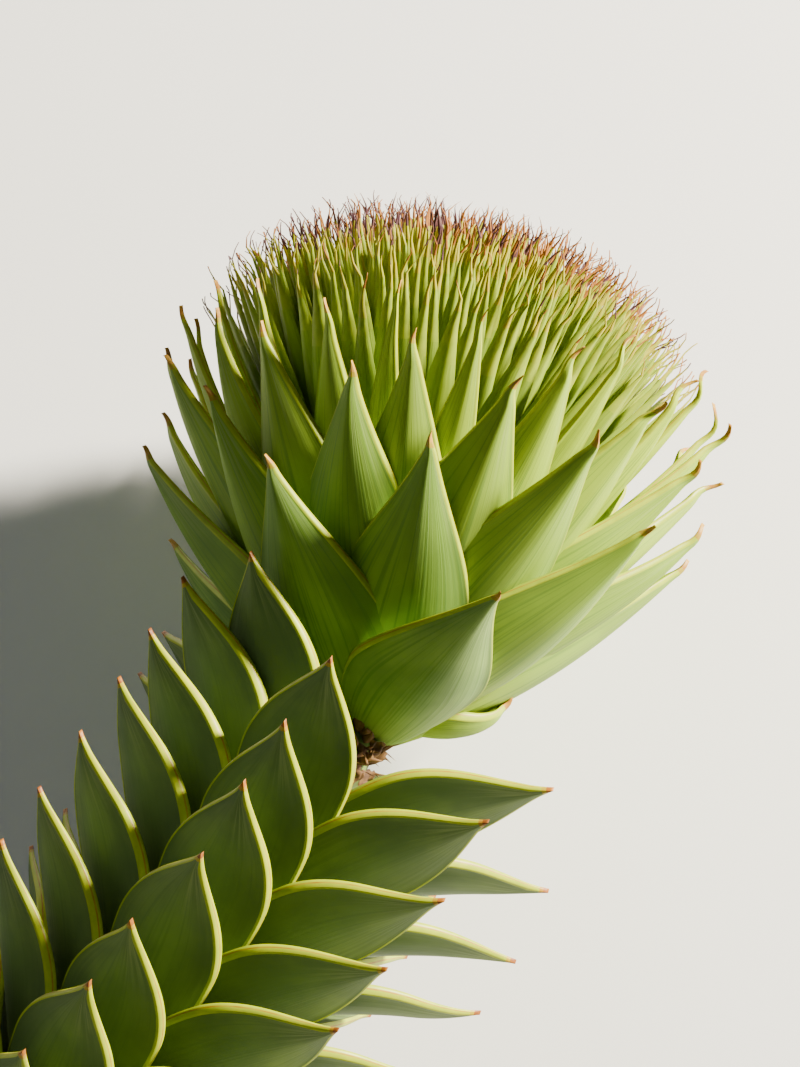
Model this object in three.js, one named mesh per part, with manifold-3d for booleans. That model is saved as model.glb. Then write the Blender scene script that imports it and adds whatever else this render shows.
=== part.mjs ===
// Cut end of one leafy monkey puzzle shoot that carries a young seed cone.
// Millimetres. Everything is worked out as it grows, with x to the right, y up and z towards the
// viewer, and the whole is then laid down on the floor, +Z up.

import * as THREE from 'three';
import { mergeVertices } from 'three/addons/utils/BufferGeometryUtils.js';
import Module from 'manifold-3d';

const wasm = await Module();
wasm.setup();

const DEGREE = Math.PI / 180;

// The shoot's axis, from the foot of the cone down to the cut. Rise is its angle above level and
// depth its angle away from the viewer, both in degrees, and both fade with each mm further down.
const shootTop = new THREE.Vector3(-8.9, -36.6, 0);
const conePlace = new THREE.Vector3(-6.8, -42, 0);
const shootRise = 61.3;
const shootRiseFade = 0.149;
const shootDepth = 30;
const shootDepthFade = 0.215;
const leafyLength = 151;
const stubLength = 16;

// The woody stem, and the rind of leaf bases round it.
const stemTopRadius = 5.6;
const stemCutRadius = 7.6;
const rindThickness = 2.4;
const rindStart = 4;
const stemBend = 3;
const clearance = 0.3;
const stemSides = 12;
const stationStep = 9;

// The leaves stand in one spiral. Sizes are for a full leaf, seen from the stem's axis.
const leafCount = 68;
const leafStart = 16.92;
const leafStep = 1.97;
const leafFirstTurn = -13.7;
const leafTurn = -102.99;
const leafRootRadius = 6.8;
const leafForward = 33;
const leafReach = 50.3;
const leafRootAngle = 44;
const leafTipAngle = 70;
const leafHalfWidth = 11.3;
const leafThickness = 2.2;
const leafCup = 2.6;
const leafMassCount = 5;

// The cone's lowest bract pushes two leaves out of their rows, by these turns round the stem.
const pushedTurns = { 7: -33, 10: 11 };

// The neck under the cone has shed its leaves, furthest down on the side that faces the viewer.
const neckLength = 22;
const neckSlant = 14;
const neckSide = 30;

// The young cone leans its own way on top of the shoot.
const coneRise = 78;
const coneDepth = 12;
const coreCentre = 43;
const coreRadius = 19;
const coreHalfHeight = 36;
const coreFoot = 9;
const coreTop = 77.8;
const coreSides = 16;
const coreRows = 8;

// The tips of its bracts lie on this flattened dome, measured from the cone's foot.
const domeCentre = 58;
const domeRadius = 58;
const domeHalfHeight = 52;
const domeFullness = 2.3;
const bractTurn = -137.508;
const bractFirstTurn = 21;
const bractLowest = -34;
const bractSpan = 59;
const bractRush = 0.36;
const bractsBelowCrown = 54;
const pushedBract = 2;
const pushedBractAngle = -4.3;
const footBracts = 18;
const crownBracts = 96;
const crownAngle = 25;
const rootLowest = 0;
const rootCrown = -8;
const footRindTop = 30;
const sideRindTop = 56;
const bractHalfWidth = 14.5;
const bractThickness = 2;
const bractCup = 5;
const bractSlimming = 33;
const bractSlimmingFade = 7;
const bractHook = 14;
const awnHalfWidth = 2.8;
const awnCup = 0.4;
const awnHook = 3;
const undersideFoot = 3;
const undersideSlope = 0.43;

// How the shoot is laid down, in degrees.
const layBack = 25.44;
const layAside = 0.43;

// Outlines: share of the length from the root, and share of the widest half width there.
const leafOutline = [[0, 0.62], [0.16, 0.86], [0.36, 1], [0.62, 0.76], [0.84, 0.32]];
const bractOutline = [[0, 0.6], [0.16, 0.92], [0.34, 1], [0.66, 0.56]];
const awnOutline = [[0, 0.9], [0.55, 1]];

const colours = {
  wood: { color: 0x8a6f4d, roughness: 0.85, metalness: 0 },
  leaf: { color: 0x4f6f2c, roughness: 0.5, metalness: 0 },
  core: { color: 0x8d9a4a, roughness: 0.7, metalness: 0 },
  bract: { color: 0x86a63c, roughness: 0.5, metalness: 0 },
  crown: { color: 0xa4a548, roughness: 0.6, metalness: 0 },
};

function heading(rise, depth) {
  const level = Math.cos(depth * DEGREE);
  return new THREE.Vector3(
    Math.cos(rise * DEGREE) * level,
    Math.sin(rise * DEGREE) * level,
    -Math.sin(depth * DEGREE),
  );
}

// A cross frame on an axis: near points to the viewer's side and right to the viewer's right.
function crossFrame(place, along) {
  const near = new THREE.Vector3(0, 0, 1);
  near.addScaledVector(along, -near.dot(along)).normalize();
  const right = new THREE.Vector3().crossVectors(along, near);
  return { place, along, near, right };
}

// Walks down the curved axis from the cone's foot in steps of one mm.
function walkShoot(length) {
  const frames = [];
  const place = shootTop.clone();
  for (let below = 0; below <= length; below += 1) {
    const rise = shootRise - shootRiseFade * below;
    const depth = shootDepth - shootDepthFade * below;
    frames.push(crossFrame(place.clone(), heading(rise, depth)));
    place.sub(heading(rise, depth));
  }
  return frames;
}

const shootLength = leafyLength + stubLength;
const walked = walkShoot(shootLength + 2);

function shootFrame(below) {
  const step = Math.min(Math.max(Math.floor(below), 0), walked.length - 2);
  const frame = walked[step];
  const place = frame.place.clone().addScaledVector(frame.along, step - below);
  return crossFrame(place, frame.along);
}

const coneAxis = crossFrame(conePlace.clone(), heading(coneRise, coneDepth));

function coneFrame(height) {
  const place = coneAxis.place.clone().addScaledVector(coneAxis.along, height);
  return { ...coneAxis, place };
}

function outward(frame, turn) {
  return new THREE.Vector3()
    .addScaledVector(frame.near, Math.cos(turn * DEGREE))
    .addScaledVector(frame.right, Math.sin(turn * DEGREE));
}

function solidFrom(points, faces) {
  const vertProperties = new Float32Array(points.flatMap((p) => [p.x, p.y, p.z]));
  const triVerts = new Uint32Array(faces.flat());
  return new wasm.Manifold(new wasm.Mesh({ numProp: 3, vertProperties, triVerts }));
}

// A closed round limb through rings, each a frame with a radius.
function limb(rings, sides) {
  const points = [];
  const faces = [];
  for (const { frame, radius } of rings) {
    for (let k = 0; k < sides; k += 1) {
      points.push(frame.place.clone().addScaledVector(outward(frame, (360 * k) / sides), radius));
    }
  }
  for (let row = 0; row + 1 < rings.length; row += 1) {
    for (let k = 0; k < sides; k += 1) {
      const a = row * sides + k;
      const b = row * sides + ((k + 1) % sides);
      faces.push([a, b, b + sides], [a, b + sides, a + sides]);
    }
  }
  const bottom = points.push(rings[0].frame.place.clone()) - 1;
  const top = points.push(rings.at(-1).frame.place.clone()) - 1;
  const last = (rings.length - 1) * sides;
  for (let k = 0; k < sides; k += 1) {
    const next = (k + 1) % sides;
    faces.push([bottom, next, k], [top, last + k, last + next]);
  }
  return solidFrom(points, faces);
}

// One leaf, bract or awn: a keeled blade that bends in the plane of its axis and ends in a point.
// Extra thickens and widens it, for cutting its room out of a neighbour.
function blade(shape, extra = 0) {
  const { frame, turn, root, bend, tip, halfWidth, thickness, cup, outline } = shape;
  const out = outward(frame, turn);
  const side = new THREE.Vector3().crossVectors(frame.along, out);
  const at = ([reach, forward]) => frame.place.clone()
    .addScaledVector(out, reach)
    .addScaledVector(frame.along, forward);
  const curve = new THREE.QuadraticBezierCurve3(at(root), at(bend), at(tip));
  const points = [];
  const faces = [];
  for (const [share, width] of outline) {
    const along = curve.getTangent(share);
    const middle = curve.getPoint(share).addScaledVector(along, share > 0 ? 0 : -extra);
    const inner = new THREE.Vector3().crossVectors(along, side);
    const half = halfWidth * width + extra;
    const thick = thickness * (0.45 + 0.55 * width) / 2 + extra;
    const edge = middle.clone().addScaledVector(inner, cup * half / halfWidth);
    points.push(edge.clone().addScaledVector(side, -half));
    points.push(middle.clone().addScaledVector(inner, -thick));
    points.push(edge.clone().addScaledVector(side, half));
    points.push(middle.clone().addScaledVector(inner, thick));
  }
  const end = curve.getPoint(1).addScaledVector(curve.getTangent(1), extra);
  const last = points.push(end) - 1;
  for (let row = 0; row + 1 < outline.length; row += 1) {
    for (let k = 0; k < 4; k += 1) {
      const a = row * 4 + k;
      const b = row * 4 + ((k + 1) % 4);
      faces.push([a, b, b + 4], [a, b + 4, a + 4]);
    }
  }
  for (let k = 0; k < 4; k += 1) {
    faces.push([last - 4 + k, last - 4 + ((k + 1) % 4), last]);
  }
  faces.push([0, 2, 1], [0, 3, 2]);
  return solidFrom(points, faces);
}

// Where two lines in the plane of a blade meet: one leaves its root and one reaches its tip.
function bendPoint(root, rootAngle, tip, tipAngle) {
  const leave = [Math.sin(rootAngle * DEGREE), Math.cos(rootAngle * DEGREE)];
  const arrive = [Math.sin(tipAngle * DEGREE), Math.cos(tipAngle * DEGREE)];
  const gap = [tip[0] - root[0], tip[1] - root[1]];
  const run = (gap[0] * arrive[1] - gap[1] * arrive[0]) / (leave[0] * arrive[1] - leave[1] * arrive[0]);
  return [root[0] + leave[0] * run, root[1] + leave[1] * run];
}

function leafTurnAt(index) {
  return leafFirstTurn + leafTurn * index + (pushedTurns[index] ?? 0);
}

function leafShape(index) {
  const root = [leafRootRadius, 0];
  const tip = [leafReach, leafForward];
  return {
    frame: shootFrame(leafStart + leafStep * index),
    turn: leafTurnAt(index),
    root,
    bend: bendPoint(root, leafRootAngle, tip, leafTipAngle),
    tip,
    halfWidth: leafHalfWidth,
    thickness: leafThickness,
    cup: leafCup,
    outline: leafOutline,
  };
}

function stemRadius(below) {
  return stemTopRadius + (stemCutRadius - stemTopRadius) * Math.max(below, 0) / shootLength;
}

// Rings of the shoot between two distances below its top, butt end first.
function shootRings(top, bottom, extra) {
  const steps = Math.max(1, Math.round((bottom - top) / stationStep));
  return range(0, steps + 1).map((k) => {
    const below = bottom + (top - bottom) * k / steps;
    return { frame: shootFrame(below), radius: stemRadius(below) + extra };
  });
}

function sleeve(top, bottom, extra) {
  return limb(shootRings(top, bottom, extra), stemSides);
}

// The whole stem, from the cut to the flat foot of the cone.
function stemLimb(extra) {
  const rings = shootRings(stemBend, shootLength, extra);
  rings.push({ frame: coneFrame(coreFoot - clearance), radius: stemTopRadius + extra });
  return limb(rings, stemSides);
}

// The cone's core is an egg with a flat foot. Extra grows it evenly, for its rind and its bore.
function eggRing(height, extra) {
  const share = (height - coreCentre) / coreHalfHeight;
  const radius = coreRadius * Math.sqrt(1 - share * share) + extra;
  return { frame: coneFrame(height + share * extra), radius };
}

function eggRings(low, high, extra) {
  return range(0, coreRows + 1).map((k) => eggRing(low + (high - low) * k / coreRows, extra));
}

function coneRind(fromStem, low, high, extra) {
  const start = { frame: shootFrame(stemBend + extra), radius: stemTopRadius + rindThickness + extra };
  const rings = eggRings(low, high, rindThickness + extra);
  return limb(fromStem ? [start, ...rings] : rings, coreSides);
}

function coreBore() {
  const entry = { frame: coneFrame(coreFoot - 4), radius: eggRing(coreFoot, clearance).radius };
  return limb([entry, ...eggRings(coreFoot, coreTop, clearance)], coreSides);
}

function domePoint(angle) {
  const power = 2 / domeFullness;
  const reach = domeRadius * Math.cos(angle * DEGREE) ** power;
  const rise = domeHalfHeight * Math.abs(Math.sin(angle * DEGREE)) ** power;
  return [reach, domeCentre + Math.sign(angle) * rise];
}

// How far up the dome a bract's tip lies, in degrees: quickly past the large ones at the foot,
// then evenly over the crown. The one under the viewer's right is pushed up out of the rule.
function bractAngle(index) {
  if (index === pushedBract) {
    return pushedBractAngle;
  }
  if (index < bractsBelowCrown) {
    return bractLowest + bractSpan * (index / bractsBelowCrown) ** bractRush;
  }
  const share = (index - bractsBelowCrown + 0.5) / crownBracts;
  return Math.acos(Math.cos(crownAngle * DEGREE) * Math.sqrt(1 - share)) / DEGREE;
}

function corePoint(angle) {
  return [coreRadius * Math.cos(angle * DEGREE), coreCentre + coreHalfHeight * Math.sin(angle * DEGREE)];
}

// Roots climb evenly from the top of the stem up the core, and go over its top with the awns.
function bractRoot(index, angle) {
  if (index >= bractsBelowCrown) {
    return corePoint(rootCrown + (90 - rootCrown) * (angle - crownAngle) / (90 - crownAngle));
  }
  const height = rootLowest + (corePoint(rootCrown)[1] - rootLowest) * index / bractsBelowCrown;
  return [height < coreFoot ? stemTopRadius : eggRing(height, 0).radius, height];
}

function bractShape(index) {
  const crown = index >= bractsBelowCrown;
  const angle = bractAngle(index);
  const tip = domePoint(angle);
  const root = bractRoot(index, angle);
  const chord = Math.atan2(tip[0] - root[0], tip[1] - root[1]) / DEGREE;
  const hook = crown ? awnHook : bractHook;
  const slim = 1 / (1 + Math.exp((index - bractSlimming) / bractSlimmingFade));
  return {
    frame: coneAxis,
    turn: bractFirstTurn + bractTurn * index,
    root,
    bend: bendPoint(root, chord + hook, tip, chord - hook),
    tip,
    halfWidth: crown ? awnHalfWidth : awnHalfWidth + (bractHalfWidth - awnHalfWidth) * slim,
    thickness: bractThickness,
    cup: crown ? awnCup : awnCup + (bractCup - awnCup) * slim,
    outline: crown ? awnOutline : bractOutline,
  };
}

// The underside of the cone's lowest bracts: no leaf may grow up past it.
function meetsCone(shape) {
  const { frame, turn, root, bend, tip } = shape;
  const out = outward(frame, turn);
  return [0.4, 0.55, 0.7, 0.85, 1].some((share) => {
    const [reach, forward] = [0, 1].map((k) => (
      (1 - share) ** 2 * root[k] + 2 * share * (1 - share) * bend[k] + share ** 2 * tip[k]
    ));
    const spot = frame.place.clone().addScaledVector(out, reach).addScaledVector(frame.along, forward);
    const fromFoot = spot.sub(coneAxis.place);
    const height = fromFoot.dot(coneAxis.along);
    const radius = Math.sqrt(fromFoot.lengthSq() - height * height);
    return radius < domeRadius && height > undersideFoot + radius * undersideSlope;
  });
}

function onBareNeck(index) {
  const aside = leafTurnAt(index) - neckSide;
  return leafStart + leafStep * index < neckLength + neckSlant * Math.cos(aside * DEGREE);
}

function range(from, to) {
  return Array.from({ length: to - from }, (_, k) => from + k);
}

function join(solids) {
  return solids.reduce((whole, solid) => whole.add(solid));
}

// Cutting leaves crumbs, so only the largest piece is the sub-part.
function largest(solid) {
  return solid.decompose().reduce((a, b) => (a.volume() > b.volume() ? a : b));
}

// Masses in a row, each a rind with its blades: each is bored for what runs through it and cut
// clear of the mass before it and of the next one's rind. The first is cut clear of a neighbour.
function separate(masses, bore, neighbour) {
  return masses.map((mass, k) => {
    const before = k > 0 ? masses[k - 1] : neighbour;
    let solid = join([mass.rind(0), ...mass.shapes.map((shape) => blade(shape))]).subtract(bore);
    if (before) {
      const room = join([before.rind(clearance), ...before.shapes.map((shape) => blade(shape, clearance))]);
      solid = solid.subtract(room);
    }
    if (k + 1 < masses.length) {
      solid = solid.subtract(masses[k + 1].rind(clearance));
    }
    return { ...mass, solid: largest(solid) };
  });
}

function leafMasses(coneFoot) {
  const edges = range(0, leafMassCount + 1).map((k) => Math.round(leafCount * k / leafMassCount));
  const place = (index) => leafStart + leafStep * (index - 0.5);
  const masses = range(0, leafMassCount).map((k) => {
    const top = k === 0 ? rindStart : place(edges[k]) + clearance;
    const bottom = k === leafMassCount - 1 ? leafyLength : place(edges[k + 1]);
    return {
      name: `leaves_${k + 1}`,
      look: colours.leaf,
      rind: (extra) => sleeve(top - extra, bottom + extra, rindThickness + extra),
      shapes: range(edges[k], edges[k + 1])
        .filter((index) => !onBareNeck(index))
        .filter((index) => index in pushedTurns || !meetsCone(leafShape(index)))
        .map(leafShape),
    };
  });
  return separate(masses, stemLimb(clearance), coneFoot);
}

function coneMasses() {
  const edges = [coreFoot, footRindTop, sideRindTop, coreTop];
  const counts = [0, footBracts, bractsBelowCrown, bractsBelowCrown + crownBracts];
  const names = ['cone_foot_bracts', 'cone_side_bracts', 'cone_crown'];
  return names.map((name, k) => {
    const low = edges[k] + (k ? clearance : 0);
    return {
      name,
      look: k === 2 ? colours.crown : colours.bract,
      rind: (extra) => coneRind(k === 0, low - extra, edges[k + 1] + extra, extra),
      shapes: range(counts[k], counts[k + 1]).map(bractShape),
    };
  });
}

function meshOf(name, solid, look) {
  const { vertProperties, triVerts } = solid.getMesh();
  const geometry = new THREE.BufferGeometry();
  geometry.setAttribute('position', new THREE.BufferAttribute(new Float32Array(vertProperties), 3));
  geometry.setIndex(new THREE.BufferAttribute(new Uint32Array(triVerts), 1));
  const mesh = new THREE.Mesh(mergeVertices(geometry), new THREE.MeshStandardMaterial(look));
  mesh.name = name;
  return mesh;
}

const grown = new THREE.Group();
grown.name = 'grown';
grown.add(meshOf('stem', stemLimb(0), colours.wood));
grown.add(meshOf('cone_core', limb(eggRings(coreFoot, coreTop, 0), coreSides), colours.core));
const cone = coneMasses();
const masses = [
  ...separate(cone, coreBore().add(stemLimb(clearance))),
  ...leafMasses(cone[0]),
];
for (const { name, solid, look } of masses) {
  grown.add(meshOf(name, solid, look));
}

// Laid down: leant back and a touch aside, it lies on one tip of the cone and two of the leaves.
grown.rotation.set(layBack * DEGREE, layAside * DEGREE, 0, 'YXZ');
grown.updateMatrixWorld(true);
const box = new THREE.Box3().setFromObject(grown, true);
grown.position.set(-(box.min.x + box.max.x) / 2, -(box.min.y + box.max.y) / 2, -box.min.z);

const shoot = new THREE.Group();
shoot.add(grown);

export default shoot;
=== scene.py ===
# %% [markdown]
# A cut monkey puzzle shoot with a young seed cone, as a lesson in building a plant by its own rule.
# A plant repeats one shape by one rule. Here the rule is a spiral: every leaf stands a fixed turn
# and a fixed step further down the stem than the one before, and every bract of the cone does the
# same on a dome. So the script holds one leaf, one bract and one awn, and a rule that places them.
# The frame is loaded first. Its solids say where everything is, and nothing here is fitted to them
# by eye: the rule below is the one that the solids were grown by.

# %% Load the frame
import math

import bmesh
import bpy
import numpy as np
from mathutils import Matrix, Vector


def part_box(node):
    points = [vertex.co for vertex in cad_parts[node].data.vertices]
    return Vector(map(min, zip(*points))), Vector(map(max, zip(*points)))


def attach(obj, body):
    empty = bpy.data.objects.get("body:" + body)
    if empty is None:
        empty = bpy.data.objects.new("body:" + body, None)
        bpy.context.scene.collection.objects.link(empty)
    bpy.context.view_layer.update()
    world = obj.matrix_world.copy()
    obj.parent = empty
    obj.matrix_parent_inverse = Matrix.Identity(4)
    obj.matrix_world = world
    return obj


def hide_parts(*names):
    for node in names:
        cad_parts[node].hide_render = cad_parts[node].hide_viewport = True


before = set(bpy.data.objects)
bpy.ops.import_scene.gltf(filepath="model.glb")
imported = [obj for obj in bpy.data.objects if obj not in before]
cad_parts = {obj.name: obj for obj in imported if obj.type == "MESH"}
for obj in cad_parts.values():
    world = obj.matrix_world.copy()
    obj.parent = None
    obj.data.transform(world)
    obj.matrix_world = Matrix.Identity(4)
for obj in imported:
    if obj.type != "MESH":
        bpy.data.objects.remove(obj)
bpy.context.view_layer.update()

# %% [markdown]
# The shoot's own axis. The stem was grown upright in millimetres, with x to the right, y up and z
# towards the viewer, as the branch is seen on the tree. A frame at each place on it has the
# direction along the stem, a near side and a right side. A leaf is then drawn in the flat sheet
# that its turn and the axis give, which is far easier than drawing it in space. The stem is walked
# down from under the cone, a millimetre at a time, and its heading turns a little at each step.

# %% The shoot's axis
SHOOT_TOP = np.array([-8.9, -36.6, 0.0])
SHOOT_RISE = 61.3
SHOOT_RISE_FADE = 0.149
SHOOT_DEPTH = 30.0
SHOOT_DEPTH_FADE = 0.215
LEAFY_LENGTH = 151.0
STUB_LENGTH = 16.0
SHOOT_LENGTH = LEAFY_LENGTH + STUB_LENGTH
CONE_PLACE = np.array([-6.8, -42.0, 0.0])
CONE_RISE = 78.0
CONE_DEPTH = 12.0


def unit(vector):
    return vector / np.linalg.norm(vector, axis=-1, keepdims=True)


def heading(rise, depth):
    """A direction: how steeply it rises, and how far it leans away from the viewer."""
    rise, depth = math.radians(rise), math.radians(depth)
    level = math.cos(depth)
    return np.array([math.cos(rise) * level, math.sin(rise) * level, -math.sin(depth)])


def cross_frame(place, along):
    """A place on an axis, with its directions along, near and right."""
    near = np.array([0.0, 0.0, 1.0])
    near = unit(near - along * near.dot(along))
    return place, along, near, np.cross(along, near)


def walk_shoot(length):
    """The shoot's frames, one for each millimetre below its top."""
    frames = []
    place = SHOOT_TOP.copy()
    for below in range(int(length) + 1):
        rise = SHOOT_RISE - SHOOT_RISE_FADE * below
        along = heading(rise, SHOOT_DEPTH - SHOOT_DEPTH_FADE * below)
        frames.append(cross_frame(place, along))
        place = place - along
    return frames


walked = walk_shoot(SHOOT_LENGTH + 2)


def shoot_frame(below):
    """The shoot's frame at any distance below its top."""
    step = min(max(math.floor(below), 0), len(walked) - 2)
    place, along, _, _ = walked[step]
    return cross_frame(place + along * (step - below), along)


def cone_frame(height):
    along = heading(CONE_RISE, CONE_DEPTH)
    return cross_frame(CONE_PLACE + along * height, along)


def outward(axis_frame, turn):
    """Straight out from an axis. A turn of 0 faces the viewer, and one of 90 the right."""
    _, _, near, right = axis_frame
    return near * math.cos(math.radians(turn)) + right * math.sin(math.radians(turn))


print("shoot: walked", len(walked), "mm, cut face at", walked[int(SHOOT_LENGTH)][0].round(1))

# %% [markdown]
# The shoot is then laid down on the floor: leant back by one turn and a touch aside by another.
# How far it was shifted after that is read off the frame: the same corner of the stem is found
# here and in the loaded model, and the difference is the shift.

# %% Lay it down
LAY_BACK = 25.44
LAY_ASIDE = 0.43
STEM_TOP_RADIUS = 5.6
STEM_CUT_RADIUS = 7.6
STEM_BEND = 3.0
STEM_SIDES = 12
STATION_STEP = 9.0
CORE_FOOT = 9.0
CLEARANCE = 0.3
MM = 0.001

leant_back = Matrix.Rotation(math.radians(LAY_BACK), 3, "X")
turned = Matrix.Rotation(math.radians(LAY_ASIDE), 3, "Y") @ leant_back
laying = np.array(turned)


def stem_radius(below):
    gain = (STEM_CUT_RADIUS - STEM_TOP_RADIUS) * np.maximum(below, 0) / SHOOT_LENGTH
    return STEM_TOP_RADIUS + gain


def stem_corners():
    """The corners of the stem's solid, as grown."""
    steps = round((SHOOT_LENGTH - STEM_BEND) / STATION_STEP)
    stations = np.linspace(SHOOT_LENGTH, STEM_BEND, steps + 1)
    rings = [(shoot_frame(below), stem_radius(below)) for below in stations]
    rings.append((cone_frame(CORE_FOOT - CLEARANCE), STEM_TOP_RADIUS))
    turns = [360 * k / STEM_SIDES for k in range(STEM_SIDES)]
    return np.array([
        ring[0] + outward(ring, turn) * radius for ring, radius in rings for turn in turns
    ])


shift = np.array(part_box("stem")[0]) - (stem_corners() @ laying.T).min(0) * MM


def laid(points):
    """Points as grown, in millimetres, to the frame's metres."""
    return points @ laying.T * MM + shift


far_corner = laid(stem_corners()).max(0)
print("shift", shift.round(5), "and the stem's far corner is off by",
      np.abs(far_corner - np.array(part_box("stem")[1])).max().round(6))

# %% [markdown]
# The camera stands where the photograph was taken from: 900 mm in front of the cone, on the axis
# that the shoot was grown by. Its lens gives 0.2 mm for each pixel of the 800 by 1067 picture at
# that distance. The pale floor is only a stage.

# %% Camera and floor
VIEW_DISTANCE = 900.0
PIXEL = 0.2
IMAGE_HEIGHT = 1067
SENSOR = 36.0
NEAREST = 0.01
FLOOR_SIZE = 30.0

camera_data = bpy.data.cameras.new("camera")
camera_data.sensor_width = SENSOR
camera_data.lens = SENSOR * VIEW_DISTANCE / (IMAGE_HEIGHT * PIXEL)
camera_data.clip_start = NEAREST
camera = bpy.data.objects.new("camera", camera_data)
camera_place = laid(np.array([0.0, 0.0, VIEW_DISTANCE]))
camera.matrix_world = Matrix.Translation(camera_place) @ turned.to_4x4()
bpy.context.scene.collection.objects.link(camera)
bpy.context.scene.camera = camera


def new_object(name, mesh):
    piece = bpy.data.objects.new(name, mesh)
    bpy.context.scene.collection.objects.link(piece)
    return piece


floor_mesh = bpy.data.meshes.new("floor")
bm = bmesh.new()
bmesh.ops.create_grid(bm, x_segments=1, y_segments=1, size=FLOOR_SIZE / 2)
bm.to_mesh(floor_mesh)
bm.free()
floor = new_object("floor", floor_mesh)
print("camera: lens", round(camera_data.lens, 1), "mm, at", [round(x, 3) for x in camera.location])

# %% [markdown]
# Daylight. One small strong lamp stands to the upper right, as the sun does in the photograph, so
# that each leaf throws a shadow on the next, and a broad weak one fills the left. A pale world does
# the rest.

# %% Lamps
SUN_PLACE = (1120.0, 680.0, 360.0)
SUN_SIZE = 0.2
SUN_POWER = 140.0
SUN_COLOUR = (1.0, 0.94, 0.80)
SKY_PLACE = (-700.0, 500.0, 900.0)
SKY_SIZE = 1.2
SKY_POWER = 2.0
SKY_COLOUR = (0.88, 0.94, 1.0)
WORLD_GREY = (0.86, 0.9, 0.95, 1.0)
WORLD_STRENGTH = 0.085


def lamp(name, place, size, power, colour):
    """An area lamp at a place in the grown shoot's millimetres, aimed at the cone."""
    data = bpy.data.lights.new(name, "AREA")
    data.shape = "DISK"
    data.size = size
    data.energy = power
    data.color = colour
    piece = bpy.data.objects.new(name, data)
    spot = Vector(laid(np.array(place)))
    aim = Vector(laid(np.zeros(3))) - spot
    facing = aim.to_track_quat("-Z", "Y").to_matrix().to_4x4()
    piece.matrix_world = Matrix.Translation(spot) @ facing
    bpy.context.scene.collection.objects.link(piece)
    return piece


lamps = [
    lamp("sun_side", SUN_PLACE, SUN_SIZE, SUN_POWER, SUN_COLOUR),
    lamp("sky_side", SKY_PLACE, SKY_SIZE, SKY_POWER, SKY_COLOUR),
]
world = bpy.data.worlds.new("studio")
world.use_nodes = True
world.node_tree.nodes["Background"].inputs["Color"].default_value = WORLD_GREY
world.node_tree.nodes["Background"].inputs["Strength"].default_value = WORLD_STRENGTH
bpy.context.scene.world = world
print("lamps:", len(lamps), "area lamps and a pale world")

# %% [markdown]
# Materials are graphs of nodes. Written as calls they grow long, so one small class wraps a socket
# and lets it add, subtract and multiply like a number, and one method makes any other node from
# its type, its settings and what its sockets take.

# %% A small language for finishes
MIX_FIRST, MIX_SECOND, MIX_RESULT = 6, 7, 2


class Flow:
    """The output of a node, which can be used in sums."""

    def __init__(self, finish, socket):
        self.finish = finish
        self.socket = socket

    def sum_with(self, operation, first, second):
        return self.finish.node("ShaderNodeMath", {"operation": operation}, {0: first, 1: second})

    def __add__(self, other):
        return self.sum_with("ADD", self, other)

    def __sub__(self, other):
        return self.sum_with("SUBTRACT", self, other)

    def __rsub__(self, other):
        return self.sum_with("SUBTRACT", other, self)

    def __mul__(self, other):
        return self.sum_with("MULTIPLY", self, other)

    __radd__ = __add__
    __rmul__ = __mul__


class Finish:
    """A material whose shader takes what the methods below make."""

    def __init__(self, name, roughness, **fixed):
        self.material = bpy.data.materials.new(name)
        self.material.use_nodes = True
        self.tree = self.material.node_tree
        self.shader = self.tree.nodes["Principled BSDF"]
        self.shader.inputs["Roughness"].default_value = roughness
        for socket, value in fixed.items():
            self.shader.inputs[socket.replace("_", " ")].default_value = value

    def node(self, kind, settings=None, inputs=None, output=0):
        made = self.tree.nodes.new(kind)
        for name, value in (settings or {}).items():
            setattr(made, name, value)
        for name, value in (inputs or {}).items():
            if isinstance(value, Flow):
                self.tree.links.new(value.socket, made.inputs[name])
            else:
                made.inputs[name].default_value = value
        return Flow(self, made.outputs[output])

    def mix(self, factor, first, second):
        """Two colours by a factor. A plain colour is three numbers."""
        pair = {MIX_FIRST: first, MIX_SECOND: second}
        colours = {key: (*value, 1.0) if isinstance(value, tuple) else value
                   for key, value in pair.items()}
        return self.node("ShaderNodeMix", {"data_type": "RGBA"}, {0: factor, **colours},
                         output=MIX_RESULT)

    def ramp(self, factor, low, high):
        """0 below low, 1 above high, and smooth between."""
        settings = {"interpolation_type": "SMOOTHSTEP"}
        return self.node("ShaderNodeMapRange", settings, {0: factor, 1: low, 2: high})

    def attribute(self, name):
        return self.node("ShaderNodeAttribute", {"attribute_name": name}, output="Fac")

    def noise(self, vector, scale, detail=3.0):
        inputs = {"Vector": vector, "Scale": scale, "Detail": detail}
        return self.node("ShaderNodeTexNoise", {}, inputs)

    def object_place(self):
        return self.node("ShaderNodeTexCoord", output="Object")

    def vector(self, x, y, z):
        return self.node("ShaderNodeCombineXYZ", {}, {0: x, 1: y, 2: z})

    def drive(self, socket, value):
        self.tree.links.new(value.socket, self.shader.inputs[socket])

    def relief(self, height, strength, distance):
        inputs = {"Strength": strength, "Distance": distance, "Height": height}
        self.drive("Normal", self.node("ShaderNodeBump", {}, inputs))


print("finishes: one socket class and one node method are ready")

# %% [markdown]
# The blades' finish. A leaf of this tree is thick and leathery, with fine lines along it that only
# show at a slant, and a pale bloom of wax that gathers towards its tip and dusts the oldest bracts.
# The lines follow the leaf, so the pattern reads where a point lies on its own blade: how far
# along, and how far across. Noise in those two numbers, stretched along, gives the lines. How far
# across is signed towards the sun, and the bloom's streaks near the tip lie on the sunny half only,
# which makes them partly wax and partly a painted sheen.

# %% Blade finishes
ALONG = "along"
ACROSS = "across"
TONE = "tone"
BLADE_ROUGHNESS = 0.47
RELIEF_DEPTH = 0.0002


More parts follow.
